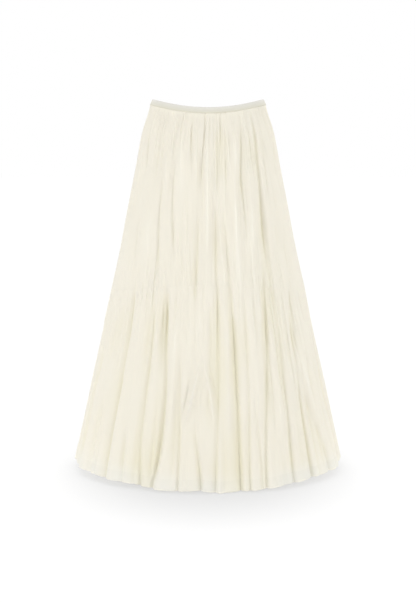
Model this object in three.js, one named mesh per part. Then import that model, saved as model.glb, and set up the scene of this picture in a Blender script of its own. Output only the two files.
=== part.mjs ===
// Maxi skirt: two gathered tiers on a narrow elastic waistband, over a plain lining.
// Millimetres. +Z is up, the front faces -Y, and the wearer's left side is +X.
// The origin is the middle of the waist opening, level with the band's top edge at the sides.
import * as THREE from "three";

// Driving dimensions.
const BAND_HEIGHT = 14; // elastic waistband, top edge to bottom edge
const BAND_THICKNESS = 2.4;
const WAIST_EASE = 110; // the dip of the waist fades out of the form over this height below the band
const CLOTH_THICKNESS = 1.6; // wall of the outer panels, across
const LINING_THICKNESS = 1.2;
const SEAM_GAP = 0.3; // clearance between pieces that are sewn together
const WAIST_DIP_FRONT = 22; // the waist sits this much lower at the centre front than at the sides
const WAIST_DIP_BACK = 17;
const TIER_SEAM_SIDE = 452; // drop of the tier seam at the sides
const TIER_SEAM_RISE_FRONT = 26; // and how much higher it is at the centre front
const TIER_SEAM_RISE_BACK = 16;
const HEM_SIDE = 866; // drop of the hem at the sides
const HEM_DIP = 13; // the hem hangs this much lower at the centre front and back
const LINING_SHORTER = 24; // the lining's hem is this far above the outer hem
const UPPER_ROWS = 5; // rows of quads down each panel
const LOWER_ROWS = 6;
const LINING_ROWS = 6;
const COLUMNS = 66; // columns of quads across the front or the back
const LINING_COLUMNS = 32;
const EVEN_ROWS = 1;
const CROWDED_ROWS = 1.5; // power that crowds a panel's rows towards the waist, where the form bends

// The smooth form that the folds are laid on, ring by ring: drop below the waist at the sides,
// half of its width, its depth in front of and behind the side seams, and how far inside it
// the lining hangs.
const RINGS = [
  { drop: 0, halfWidth: 131, front: 92, back: 92, liningIn: 2.2 },
  { drop: 14, halfWidth: 137, front: 97, back: 97, liningIn: 2.2 },
  { drop: 36, halfWidth: 144, front: 104, back: 105, liningIn: 8 },
  { drop: 72, halfWidth: 156, front: 115, back: 118, liningIn: 14 },
  { drop: 143, halfWidth: 170, front: 129, back: 136, liningIn: 17 },
  { drop: 250, halfWidth: 191, front: 149, back: 158, liningIn: 18 },
  { drop: 358, halfWidth: 212, front: 170, back: 178, liningIn: 19 },
  { drop: 452, halfWidth: 233, front: 189, back: 196, liningIn: 21 },
  { drop: 577, halfWidth: 261, front: 215, back: 220, liningIn: 27 },
  { drop: 725, halfWidth: 294, front: 246, back: 249, liningIn: 34 },
  { drop: 886, halfWidth: 330, front: 281, back: 282, liningIn: 40 },
];

// The largest folds, as valleys pressed into the form. Turns are the angles from the centre front
// or the centre back, positive towards +X, at the valley's top, middle and bottom. From and to are
// drops; a valley that ends below the hem runs out through it. Depth and width are those at the
// hem's size, and both shrink with the form towards the waist.
const FRONT_FOLDS = [
  { turns: [-36.8, -34.9, -29.1], from: 137, to: 448, depth: 10, width: 24 },
  { turns: [-24.4, -25.6, -20.5], from: 100, to: 380, depth: 9, width: 22 },
  { turns: [-2.9, -4, -4], from: 18, to: 246, depth: 11, width: 21 },
  { turns: [8.2, 7.2, 6.1], from: 23, to: 246, depth: 8, width: 20 },
  { turns: [32.2, 27, 24.2], from: 18, to: 237, depth: 10, width: 21 },
  { turns: [45.9, 42, 39.5], from: 17, to: 430, depth: 14, width: 25 },
  { turns: [8.8, 13.4, 13.2], from: 190, to: 1100, depth: 21, width: 22 },
  { turns: [-27.4, -20.7, -23.2], from: 350, to: 1100, depth: 20, width: 22 },
  { turns: [6.1, 4.9, 2.6], from: 278, to: 1100, depth: 12, width: 17 },
  { turns: [-49, -47.4, -48.2], from: 410, to: 1100, depth: 15, width: 24 },
  { turns: [-34.9, -31, -30], from: 400, to: 1100, depth: 13, width: 20 },
  { turns: [-13.4, -13.1, -12.3], from: 520, to: 1100, depth: 12, width: 17 },
  { turns: [-6.5, -5.1, -3.2], from: 670, to: 1100, depth: 12, width: 16 },
  { turns: [20.8, 19.3, 17], from: 430, to: 1100, depth: 12, width: 16 },
  { turns: [33.5, 29.2, 24.5], from: 450, to: 1100, depth: 14, width: 19 },
  { turns: [40, 38.6, 37.9], from: 530, to: 1100, depth: 13, width: 18 },
  { turns: [51.5, 48, 49.2], from: 440, to: 1100, depth: 15, width: 21 },
  { turns: [50.8, 56.7, 63.4], from: 600, to: 1100, depth: 10, width: 24 },
  { turns: [-59.9, -59.5, -59.9], from: 640, to: 1100, depth: 8, width: 26 },
  { turns: [-73, -73.5, -74], from: 480, to: 1100, depth: 9, width: 24 },
  { turns: [75, 76, 77], from: 450, to: 1100, depth: 9, width: 22 },
];
const BACK_FOLDS = [
  { turns: [-38, -39, -41], from: 40, to: 480, depth: 13, width: 28 },
  { turns: [-19, -18.5, -17], from: 30, to: 330, depth: 12, width: 24 },
  { turns: [3, 4.5, 6], from: 60, to: 500, depth: 13, width: 26 },
  { turns: [24, 23, 21], from: 30, to: 280, depth: 10, width: 23 },
  { turns: [44, 41.5, 40], from: 90, to: 520, depth: 13, width: 28 },
  { turns: [-66, -67, -68], from: 470, to: 1100, depth: 9, width: 30 },
  { turns: [-52, -52, -53], from: 400, to: 1100, depth: 17, width: 24 },
  { turns: [-41, -40.8, -39.5], from: 520, to: 1100, depth: 14, width: 19 },
  { turns: [-30, -29.8, -29.5], from: 360, to: 1100, depth: 20, width: 23 },
  { turns: [-20.5, -20.2, -21], from: 600, to: 1100, depth: 12, width: 17 },
  { turns: [-12, -13, -13], from: 420, to: 1100, depth: 16, width: 19 },
  { turns: [-3, -2.5, -2], from: 380, to: 1100, depth: 21, width: 24 },
  { turns: [6.5, 7.2, 7], from: 520, to: 1100, depth: 12, width: 17 },
  { turns: [15.5, 15.5, 16.5], from: 400, to: 1100, depth: 18, width: 21 },
  { turns: [26, 25.5, 25], from: 640, to: 1100, depth: 12, width: 18 },
  { turns: [34, 35, 35], from: 380, to: 1100, depth: 21, width: 24 },
  { turns: [45, 44, 44], from: 560, to: 1100, depth: 13, width: 18 },
  { turns: [54, 54.5, 55], from: 430, to: 1100, depth: 17, width: 24 },
  { turns: [67, 68, 68], from: 500, to: 1100, depth: 8, width: 30 },
  { turns: [-78, -79, -80], from: 450, to: 1100, depth: 9, width: 20 },
  { turns: [79, 79.5, 80], from: 520, to: 1100, depth: 8, width: 20 },
];
const FOLD_FADE = 110; // a valley reaches its depth over this much drop, and fades out over it
const SIDE_CALM = 6; // degrees next to each side seam over which the folds die away

// Colours of the materials.
const CLOTH_COLOUR = 0xf2edd9;
const BAND_COLOUR = 0xe0dfd8;
const LINING_COLOUR = 0xf0ecdc;

const radians = THREE.MathUtils.degToRad;
const smooth = THREE.MathUtils.smoothstep;

// A side is the front or the back half of the skirt: which way it faces, its own sizes and folds.
const FRONT = {
  facing: -1,
  depth: "front",
  folds: FRONT_FOLDS,
  waistDip: WAIST_DIP_FRONT,
  seamRise: TIER_SEAM_RISE_FRONT,
};
const BACK = {
  facing: 1,
  depth: "back",
  folds: BACK_FOLDS,
  waistDip: WAIST_DIP_BACK,
  seamRise: TIER_SEAM_RISE_BACK,
};

// A column of the RINGS table at any drop, on straight lines between the rings.
function ringValue(column, drop) {
  const last = RINGS.length - 2;
  const below = RINGS.findIndex((ring) => ring.drop > drop);
  const i = below < 0 ? last : Math.max(0, below - 1);
  const share = (drop - RINGS[i].drop) / (RINGS[i + 1].drop - RINGS[i].drop);
  return THREE.MathUtils.lerp(RINGS[i][column], RINGS[i + 1][column], share);
}

// A smooth curve through three evenly spaced values, at a share of the way along it.
function throughThree([first, second, third], share) {
  const before = (1 - share) * (1 - 2 * share);
  const between = 4 * share * (1 - share);
  const after = share * (2 * share - 1);
  return first * before + second * between + third * after;
}

// How far the folds press the cloth in at a turn (degrees) and a drop.
function foldOffset(side, turn, drop) {
  const halfWidth = ringValue("halfWidth", drop);
  const depth = ringValue(side.depth, drop);
  const size = halfWidth / RINGS.at(-1).halfWidth;
  const angle = radians(turn);
  const arcPerRadian = Math.hypot(halfWidth * Math.cos(angle), depth * Math.sin(angle));
  let offset = 0;
  for (const fold of side.folds) {
    const length = Math.min(fold.to, HEM_SIDE) - fold.from;
    const centre = throughThree(fold.turns, THREE.MathUtils.clamp((drop - fold.from) / length, 0, 1));
    const away = (radians(turn - centre) * arcPerRadian) / (fold.width * size);
    const rise = smooth(drop, fold.from, fold.from + FOLD_FADE);
    const fall = 1 - smooth(drop, fold.to - FOLD_FADE, fold.to);
    offset -= fold.depth * size * Math.exp(-away * away) * rise * fall;
  }
  return offset * smooth(90 - Math.abs(turn), 0, SIDE_CALM);
}

// A point on the form: turn from the centre line, drop along the side, height and distance out.
function formPoint(side, turn, drop, height, out) {
  const angle = radians(turn);
  const halfWidth = ringValue("halfWidth", drop);
  const depth = ringValue(side.depth, drop);
  const normal = new THREE.Vector2(depth * Math.sin(angle), halfWidth * Math.cos(angle)).normalize();
  return new THREE.Vector3(
    halfWidth * Math.sin(angle) + normal.x * out,
    side.facing * (depth * Math.cos(angle) + normal.y * out),
    height,
  );
}

// How much an edge of the cut curves between the side seams (0) and the centre line (1).
function towardsCentre(turn) {
  return Math.cos(radians(turn)) ** 2;
}

// Heights of the sewn edges at a turn. Each is a height, so it is negative below the waist.
const bandTop = (side, turn) => -side.waistDip * towardsCentre(turn);
const bandBottom = (side, turn) => bandTop(side, turn) - BAND_HEIGHT;
const tierSeam = (side, turn) => -TIER_SEAM_SIDE + side.seamRise * towardsCentre(turn);
const hem = (side, turn) => -HEM_SIDE - HEM_DIP * towardsCentre(turn);

// The drop whose ring a point lies on. Under the band the rings dip with it, and lower down they
// come level, so the cloth leaves the band edge to edge all the way round.
function ringDrop(side, turn, height) {
  const dip = side.waistDip * towardsCentre(turn);
  return -height - dip * (1 - smooth(-height - dip - BAND_HEIGHT, 0, WAIST_EASE));
}

// A closed wall from two grids of points, [row][column], rows going down and columns going
// round so that the outer grid faces out. A loop's last column joins its first.
function wall(name, outer, inner, loop, material) {
  const rows = outer.length;
  const columns = outer[0].length;
  const positions = [...outer.flat(), ...inner.flat()].flatMap((point) => point.toArray());
  const outside = (row, column) => row * columns + (column % columns);
  const inside = (row, column) => rows * columns + outside(row, column);
  const index = [];
  const quad = (a, b, c, d) => index.push(a, b, c, a, c, d);
  const spans = loop ? columns : columns - 1;
  for (let column = 0; column < spans; column += 1) {
    const next = column + 1;
    for (let row = 0; row < rows - 1; row += 1) {
      quad(outside(row, column), outside(row + 1, column), outside(row + 1, next), outside(row, next));
      quad(inside(row, column), inside(row, next), inside(row + 1, next), inside(row + 1, column));
    }
    const last = rows - 1;
    quad(outside(0, column), outside(0, next), inside(0, next), inside(0, column));
    quad(outside(last, column), inside(last, column), inside(last, next), outside(last, next));
  }
  if (!loop) {
    const end = columns - 1;
    for (let row = 0; row < rows - 1; row += 1) {
      quad(outside(row, 0), inside(row, 0), inside(row + 1, 0), outside(row + 1, 0));
      quad(outside(row, end), outside(row + 1, end), inside(row + 1, end), inside(row, end));
    }
  }
  const geometry = new THREE.BufferGeometry();
  geometry.setAttribute("position", new THREE.Float32BufferAttribute(positions, 3));
  geometry.setIndex(index);
  geometry.computeVertexNormals();
  const mesh = new THREE.Mesh(geometry, material);
  mesh.name = name;
  return mesh;
}

// A panel of one side between two edges, with half a seam gap taken off all round.
// outAt(turn, drop) gives the outer face's distance out from the form.
function panel(name, side, edges, grid, outAt, thickness, material) {
  const point = (row, column, depthIn) => {
    const across = (column / grid.columns) * 2 - 1;
    const [top, bottom] = edges.map((edge) => (turn) => edge(side, turn));
    const share = (row / grid.rows) ** grid.crowding;
    const roughTurn = across * 90;
    const roughHeight = THREE.MathUtils.lerp(top(roughTurn), bottom(roughTurn), share);
    const margin = THREE.MathUtils.radToDeg(SEAM_GAP / 2 / ringValue(side.depth, -roughHeight));
    const turn = across * (90 - margin);
    const high = top(turn) - SEAM_GAP / 2;
    const low = bottom(turn) + SEAM_GAP / 2;
    const height = THREE.MathUtils.lerp(high, low, share);
    const drop = ringDrop(side, turn, height);
    return formPoint(side, turn * -side.facing, drop, height, outAt(turn * -side.facing, drop) - depthIn);
  };
  const face = (depthIn) =>
    Array.from({ length: grid.rows + 1 }, (_, row) =>
      Array.from({ length: grid.columns + 1 }, (_, column) => point(row, column, depthIn)),
    );
  return wall(name, face(0), face(thickness), false, material);
}

// The elastic waistband: one loop round the waist, a little proud of the gathered cloth.
function waistband(material) {
  const proud = (BAND_THICKNESS - CLOTH_THICKNESS) / 2;
  const turns = Array.from({ length: 2 * COLUMNS }, (_, i) => (i / COLUMNS) * 180 - 90);
  const face = (out) =>
    [bandTop, (side, turn) => bandBottom(side, turn) + SEAM_GAP / 2].map((edge, row) =>
      turns.map((turn) => {
        const side = turn < 90 ? FRONT : BACK;
        const own = turn < 90 ? turn : 180 - turn;
        return formPoint(side, own, row * BAND_HEIGHT, edge(side, own), out);
      }),
    );
  return wall("waistband", face(proud), face(proud - BAND_THICKNESS), true, material);
}

const cloth = () => new THREE.MeshStandardMaterial({ color: CLOTH_COLOUR, roughness: 0.85, metalness: 0 });
const elastic = () => new THREE.MeshStandardMaterial({ color: BAND_COLOUR, roughness: 0.75, metalness: 0 });
const plain = () => new THREE.MeshStandardMaterial({ color: LINING_COLOUR, roughness: 0.7, metalness: 0 });

const skirt = new THREE.Group();
skirt.add(waistband(elastic()));
for (const [end, side] of Object.entries({ front: FRONT, back: BACK })) {
  const folded = (turn, drop) => foldOffset(side, turn, drop);
  const inset = (turn, drop) => -ringValue("liningIn", drop);
  const liningHem = (ofSide, turn) => hem(ofSide, turn) + LINING_SHORTER;
  const upperGrid = { rows: UPPER_ROWS, columns: COLUMNS, crowding: CROWDED_ROWS };
  const lowerGrid = { rows: LOWER_ROWS, columns: COLUMNS, crowding: EVEN_ROWS };
  const liningGrid = { rows: LINING_ROWS, columns: LINING_COLUMNS, crowding: CROWDED_ROWS };
  skirt.add(
    panel(`upper_${end}`, side, [bandBottom, tierSeam], upperGrid, folded, CLOTH_THICKNESS, cloth()),
  );
  skirt.add(
    panel(`lower_${end}`, side, [tierSeam, hem], lowerGrid, folded, CLOTH_THICKNESS, cloth()),
  );
  skirt.add(
    panel(`lining_${end}`, side, [bandBottom, liningHem], liningGrid, inset, LINING_THICKNESS, plain()),
  );
}

export default skirt;
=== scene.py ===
# Maxi skirt: two gathered tiers of light crinkled cloth on a narrow elastic waistband, over a
# plain lining, filled out as worn. Sizes are in millimetres, drops are measured down from the
# waist at the sides, and turns are in degrees. The meshes are in metres, in the frame's axes: +Z
# up, the front facing -Y.
import math

import bpy
import numpy as np
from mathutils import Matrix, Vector


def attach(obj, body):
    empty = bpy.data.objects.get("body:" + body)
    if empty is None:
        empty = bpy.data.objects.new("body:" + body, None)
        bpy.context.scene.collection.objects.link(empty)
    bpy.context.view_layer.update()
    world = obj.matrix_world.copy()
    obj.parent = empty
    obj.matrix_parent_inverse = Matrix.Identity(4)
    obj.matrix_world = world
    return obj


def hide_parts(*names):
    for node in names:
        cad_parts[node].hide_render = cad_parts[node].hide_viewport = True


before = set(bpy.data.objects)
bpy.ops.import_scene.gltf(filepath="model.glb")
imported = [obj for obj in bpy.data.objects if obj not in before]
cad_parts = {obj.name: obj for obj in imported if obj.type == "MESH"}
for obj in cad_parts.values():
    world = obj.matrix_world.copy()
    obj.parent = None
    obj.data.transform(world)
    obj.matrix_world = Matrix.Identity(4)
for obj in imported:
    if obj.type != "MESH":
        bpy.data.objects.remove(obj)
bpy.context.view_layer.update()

MM = 0.001

# ---------------------------------------------------------------- sizes, in millimetres
BAND_HEIGHT = 14.0
BAND_THICKNESS = 2.2
BAND_OUT = 0.4  # how far out from the form the band's middle lies
BAND_EDGE = 0.8  # rounding of its edges
BAND_EDGE_SHARE = 0.45  # share of its thickness that is left at the very edge
BAND_RIB = 2.0  # from rib to rib
BAND_RIB_DEPTH = 0.12
BAND_PUCKER = 0.18
BAND_SEED = 5
CLOTH_THICKNESS = 0.7
LINING_THICKNESS = 0.5
WAIST_DIP_FRONT = 22.0  # the waist is this much lower at the centre front than at the sides
WAIST_DIP_BACK = 17.0
WAIST_EASE = 110.0  # the dip fades out of the form over this height below the band
TIER_SEAM_SIDE = 452.0  # drop of the tier seam at the sides
TIER_SEAM_RISE_FRONT = 26.0
TIER_SEAM_RISE_BACK = 16.0
HEM_SIDE = 866.0
HEM_DIP = 16.0  # the hem is this much lower at the centre line than at the sides
LINING_SHORTER = 24.0  # the lining ends this far above the hem
SHEER_FADE = (3.0, 55.0)  # heights between which the painted shade above the hem fades from full to none
TUCK = 4.0  # how far a gathered edge runs on behind what it is sewn to
TUCK_IN = 0.75  # and how far inside it lies there
TUCK_STEP = 0.5  # it comes out again over this height
HEM_ROLL = 3.2  # height of the rolled hem
HEM_ROLL_TOP = 1.01  # what lies up to this share of its height belongs to it
HEM_ROLL_ROWS = (HEM_ROLL, 2.6, 1.6, 0.6, 0.0)  # heights of the rows that round it
HEM_ROLL_OUT = 0.55  # how far the roll stands out on each face
SIDE_SEAM_WIDTH = 3.0  # the pressed groove of a side seam
SIDE_SEAM_DEPTH = 1.1
CREASE_DEPTH = 12.0  # a crease this deep has the deepest painted shade
RIDGE_HEIGHT = 6.0  # and a ridge this high the strongest painted highlight
SHARP_ANGLE = 75  # edges sharper than this are not smoothed

# Degrees next to a side seam over which each of these dies away.
SIDE_CALM = {"folds": 5.0, "pleats": 2.5, "gathers": 1.25, "sway": 10.0}

# The hem's unevenness: waves, as height, count round the form and start, and broad lobes, as
# height, turn and half width.
HEM_WAVES = ((1.6, 3.1, 20), (1.1, 7.3, 75), (0.8, 12.7, 10))
HEM_LOBES = ((-3.0, -3.5, 5.0), (-1.4, 12.0, 6.0), (3.0, -34.0, 7.0))

# The painted shade above the hem is full in patches, as turn and half width, and less in between.
HEM_SHADE_PATCHES = ((-57, 5), (-40, 8), (-18, 6), (0, 6), (34, 6), (46, 6), (66, 7), (-74, 6))
HEM_SHADE_BETWEEN = 0.3

# More waves. The rolled hem's painted highlight starts where the sum of its waves is the range's
# first number, and is full from the second on. The sway's waves run down the form too, so that they
# have a length down it before their start. Each start range is the drops between which they set in.
GLEAM_WAVES = ((1, 17.3, 40), (1, 29.1, 0))
GLEAM_RANGE = (0.2, 1.2)
LINING_WAVES = ((1.6, 11, 0), (1.1, 17, 40))
LINING_WAVE_START = (150, 850)
SWAY_WAVES = ((1.3, 5.0, 410, 30), (0.9, 9.0, 260, 110), (0.5, 13.0, 170, 250))
SWAY_START = (20, 160)

# The smooth form that the folds are laid on: drop below the waist at the sides, half of its
# width, its depth in front of and behind the side seams, and how far inside it the lining hangs.
RING_COLUMNS = ("drop", "half_width", "front", "back", "lining_in")
RINGS = (
    (0, 131, 92, 92, 3.4),
    (14, 137, 97, 97, 3.4),
    (36, 144, 104, 105, 8),
    (72, 156, 115, 118, 14),
    (143, 170, 129, 136, 17),
    (250, 191, 149, 158, 18),
    (358, 212, 170, 178, 19),
    (452, 233, 189, 196, 21),
    (577, 261, 215, 220, 27),
    (725, 294, 246, 249, 34),
    (886, 330, 281, 282, 40),
)

# The main creases, as valleys pressed into the form, placed one by one. The four turns from the
# centre line are positive to the right, as the side is looked at, and evenly spaced from the
# valley's top to its bottom; top and bottom are drops, and a bottom below the hem runs the valley
# out through it. Core is the narrow crease and basin the hollow round it: depth and half width.
# Skew makes the left flank the wider one. A negative depth is a ridge.
FOLD_COLUMNS = ("turn_1", "turn_2", "turn_3", "turn_4", "top", "bottom", "core", "core_width",
                "basin", "basin_width", "skew")
FRONT_FOLDS = (
    # mostly in the upper tier
    (-36.8, -36.1, -33.6, -29.1, 120, 460, 2.8, 2.7, 3.2, 13, 0.20),
    (-24.4, -26.4, -24.1, -20.5, 90, 400, 2.5, 2.6, 2.6, 11, 0.20),
    (-16.4, -14.2, -13.1, -12.6, 26, 215, 1.9, 2.5, 2.2, 10, 0.10),
    (-2.9, -3.2, -4.8, -4.0, 18, 246, 2.9, 2.6, 3.2, 11, 0.10),
    (4.9, 4.6, 4.4, 4.1, 23, 223, 1.9, 1.7, 0.0, 8, 0.00),
    (8.2, 7.5, 6.8, 6.1, 23, 260, 2.4, 1.8, 3.6, 9, 0.00),
    (11.5, 10.5, 9.6, 8.6, 23, 201, 1.8, 1.7, 0.0, 8, 0.00),
    (15.9, 14.8, 13.7, 12.6, 30, 240, 2.3, 2.0, 1.7, 8, 0.00),
    (32.2, 28.7, 25.4, 24.2, 18, 260, 2.2, 2.6, 3.2, 12, 0.10),
    (45.9, 43.5, 40.5, 39.5, 17, 430, 3.2, 3.6, 5.5, 15, 0.25),
    (54.2, 51.5, 49.0, 46.8, 40, 282, 1.5, 2.9, 3.0, 11, 0.00),
    (76.4, 74.0, 71.5, 69.0, 67, 178, 1.4, 2.6, 1.7, 10, 0.00),
    (-62.4, -60.1, -57.9, -55.6, 40, 200, 1.8, 2.6, 1.5, 11, 0.00),
    (25.0, 25.4, 25.1, 24.3, 150, 350, 2.3, 2.4, 2.2, 11, 0.00),
    (62.1, 60.4, 58.8, 57.1, 289, 445, 1.4, 3.0, 3.6, 14, 0.00),
    (-57.2, -55.1, -53.0, -50.9, 230, 420, 1.6, 3.0, 2.6, 14, 0.00),
    (-8.9, -7.0, -7.4, -6.1, 218, 510, 2.2, 2.8, 3.6, 12, 0.20),
    (5.0, 4.7, 4.4, 4.3, 215, 500, 1.6, 3.4, 2.8, 8, 0.00),
    (12.6, 11.5, 10.3, 9.0, 18, 235, 0.0, 4.0, 4.2, 10, 0.00),
    (73.2, 68.7, 66.2, 65.6, 90, 225, 1.4, 3.0, 2.4, 10, 0.00),
    (51.4, 51.8, 51.9, 51.8, 230, 391, 0.8, 5.0, 2.8, 13, 0.00),
    # from the upper tier to the hem
    (8.8, 12.8, 13.6, 13.2, 200, 1100, 4.5, 4.0, 7.6, 20, 0.35),
    (-27.4, -22.4, -20.4, -23.2, 356, 1100, 4.4, 4.0, 7.4, 20, 0.35),
    (6.0, 5.1, 4.0, 2.6, 370, 1100, 2.4, 4.2, 4.2, 15, 0.30),
    # mostly in the lower tier
    (-49.0, -47.2, -47.7, -48.2, 423, 1100, 3.1, 4.0, 6.0, 20, 0.40),
    (-34.9, -30.9, -31.2, -30.0, 409, 1100, 2.8, 3.6, 4.8, 16, 0.35),
    (-27.2, -25.7, -24.2, -22.9, 432, 651, 1.0, 2.2, 1.9, 9, 0.00),
    (-13.4, -13.4, -12.7, -12.3, 531, 1100, 3.0, 3.4, 4.2, 14, 0.30),
    (-6.5, -5.7, -4.4, -3.2, 707, 1100, 2.8, 3.4, 4.8, 14, 0.30),
    (20.8, 20.0, 18.5, 17.0, 436, 1100, 2.7, 3.1, 4.1, 14, 0.30),
    (31.4, 31.9, 31.1, 30.6, 546, 809, 1.8, 2.5, 2.5, 11, 0.20),
    (50.8, 53.6, 59.9, 63.4, 626, 1100, 2.0, 3.6, 5.1, 20, 0.30),
    (-59.9, -59.3, -59.7, -59.9, 661, 1100, 1.0, 3.6, 3.7, 20, 0.30),
    (-40.4, -39.8, -39.3, -39.0, 729, 1100, 1.3, 3.3, 3.2, 14, 0.20),
    (-73.0, -73.4, -73.7, -74.0, 500, 1100, 1.8, 4.3, 4.5, 18, 0.30),
    (83.0, 83.2, 83.5, 84.0, 620, 1100, 1.4, 3.6, 3.1, 14, 0.20),
    (-82.5, -82.0, -82.0, -82.0, 560, 1100, 1.2, 3.6, 2.5, 13, 0.20),
    (-7.6, -9.2, -10.9, -13.3, 604, 748, 2.4, 2.4, 2.2, 8, 0.00),
    (-0.4, 1.5, 3.1, 4.6, 599, 718, 1.0, 2.2, 1.2, 8, 0.00),
    (37.2, 34.9, 33.3, 32.0, 350, 620, 2.2, 3.2, 3.4, 12, 0.10),
    (-49.6, -47.8, -46.4, -45.5, 390, 620, 1.8, 3.0, 2.8, 11, 0.10),
    (57.9, 55.5, 53.7, 52.6, 390, 620, 1.8, 3.0, 2.8, 10, 0.10),
    (-24.6, -23.2, -22.2, -21.6, 415, 640, 1.2, 2.8, 1.6, 9, 0.10),
    (43.6, 41.8, 40.4, 39.6, 170, 560, 1.4, 5.0, 3.4, 15, 0.20),
    (36.1, 32.4, 27.5, 24.5, 402, 1100, 3.6, 3.6, 5.2, 18, 0.30),
    (41.1, 40.2, 38.7, 37.9, 458, 1100, 3.1, 3.4, 4.6, 16, 0.30),
    (55.3, 50.9, 49.0, 49.2, 422, 1100, 3.0, 3.4, 4.6, 17, 0.30),
    (73.4, 78.0, 78.5, 78.5, 448, 1100, 1.8, 4.0, 3.4, 14, 0.20),
    # soft ridges
    (-3.8, -5.8, -8.4, -11.4, 577, 760, -5.4, 3.2, -3.2, 8, 0.00),
    (-2.8, -0.4, 1.4, 2.8, 586, 750, -4.6, 3.0, -2.6, 8, 0.00),
    (-4.6, -3.8, -3.0, -4.0, 453, 615, -2.2, 4.0, -1.5, 11, 0.00),
    (30.8, 29.7, 28.6, 27.5, 428, 585, -1.8, 5.0, -1.4, 11, 0.00),
    (24.2, 21.6, 19.3, 18.1, 41, 348, -3.0, 4.0, -3.6, 9, 0.00),
    (-1.5, -0.5, -0.2, -0.5, 51, 386, -2.2, 4.0, -3.0, 10, 0.00),
    (35.1, 32.3, 29.9, 28.0, 114, 387, -1.0, 4.0, -2.2, 10, 0.00),
    (8.0, 8.0, 9.0, 9.8, 255, 449, -2.2, 3.0, -2.0, 7, 0.00),
    (-23.3, -21.2, -19.7, -18.5, 64, 235, -1.2, 4.0, -2.2, 9, 0.00),
    (-36.3, -34.4, -32.5, -30.7, 91, 247, -1.2, 4.0, -2.0, 9, 0.00),
    (-46.1, -43.6, -41.6, -40.0, 218, 396, -0.6, 5.0, -1.2, 11, 0.00),
    (-10.5, -9.3, -9.0, -9.1, 41, 223, -1.2, 3.0, -1.2, 7, 0.00),
    (-14.1, -13.2, -12.6, -12.1, 262, 471, -0.6, 4.0, -2.0, 9, 0.00),
    (19.3, 18.8, 18.8, 18.9, 215, 500, -0.8, 4.0, -2.2, 10, 0.00),
    (-0.2, -0.6, -1.4, -2.4, 215, 500, -0.8, 4.0, -2.6, 10, 0.00),
    (31.1, 29.6, 28.3, 27.1, 215, 500, -0.8, 4.0, -2.8, 10, 0.00),
    (-44.9, -42.7, -41.1, -40.9, 220, 510, -0.4, 5.0, -1.6, 12, 0.00),
    (35.4, 34.7, 34.0, 33.4, 606, 804, -1.2, 4.0, -2.6, 8, 0.00),
    (-4.8, -4.3, -3.9, -3.5, 628, 812, -1.6, 3.0, -2.2, 7, 0.00),
    (51.4, 54.9, 58.6, 62.3, 556, 821, -2.2, 4.0, -3.6, 11, 0.00),
    (9.6, 9.7, 9.3, 9.0, 453, 780, -0.8, 5.0, -2.4, 10, 0.00),
    (-19.7, -16.9, -16.5, -17.1, 454, 782, -0.8, 5.0, -2.2, 10, 0.00),
    (-43.3, -40.3, -38.7, -38.0, 424, 746, -0.8, 5.0, -2.4, 11, 0.00),
    (24.2, 24.9, 23.8, 22.3, 454, 783, -0.8, 4.0, -2.0, 10, 0.00),
    (-31.5, -29.1, -27.9, -28.0, 456, 630, -0.6, 3.0, -1.4, 7, 0.00),
)
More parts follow.
